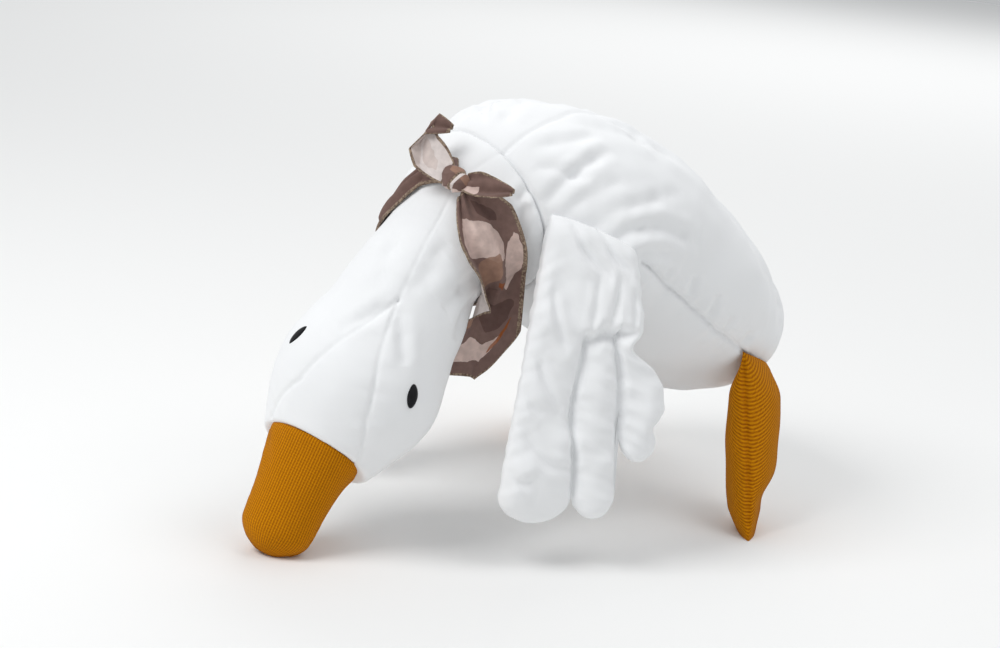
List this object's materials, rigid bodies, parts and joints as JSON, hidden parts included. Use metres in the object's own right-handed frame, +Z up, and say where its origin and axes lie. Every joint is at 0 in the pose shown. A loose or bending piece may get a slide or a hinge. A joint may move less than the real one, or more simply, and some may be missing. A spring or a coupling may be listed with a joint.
{
  "type": "plush goose",
  "caption": "Soft stuffed goose with an arched body, drooping neck and head, rib-knit beak and webbed feet, quilted wings and a cloth tied round its neck; a floppy toy for holding and cuddling.",
  "frame": {"origin": "middle of the footprint, on the floor that the beak and the toes rest on", "axes": "+Z up, -Y towards the beak, +Y towards the tail, +X the goose's left side"},
  "size_m": [0.245, 0.3746, 0.2432],
  "materials": {
    "white_jersey": "smooth cotton jersey, matte with a faint sheen",
    "ochre_rib_knit": "fine rib knit, matte",
    "black_thread": "satin-stitch embroidery, slight sheen",
    "taupe_cotton": "thin printed cotton muslin, matte",
    "polyester_filling": "loose white fibre, never seen"
  },
  "bodies": {
    "root": {"body_left_panel": "white_jersey", "body_right_panel": "white_jersey", "belly_panel": "white_jersey", "body_filling": "polyester_filling", "neck_left_panel": "white_jersey", "neck_right_panel": "white_jersey", "crown_gusset": "white_jersey", "neck_filling": "polyester_filling", "beak_upper_panel": "ochre_rib_knit", "beak_lower_panel": "ochre_rib_knit", "beak_filling": "polyester_filling", "left_eye": "black_thread", "right_eye": "black_thread", "left_wing_outer_panel": "white_jersey", "left_wing_inner_panel": "white_jersey", "left_wing_filling": "polyester_filling", "right_wing_outer_panel": "white_jersey", "right_wing_inner_panel": "white_jersey", "right_wing_filling": "polyester_filling", "left_foot_outer_panel": "ochre_rib_knit", "left_foot_inner_panel": "ochre_rib_knit", "left_foot_filling": "polyester_filling", "right_foot_outer_panel": "ochre_rib_knit", "right_foot_inner_panel": "ochre_rib_knit", "right_foot_filling": "polyester_filling", "neckerchief": "taupe_cotton"}
  },
  "joints": []
}
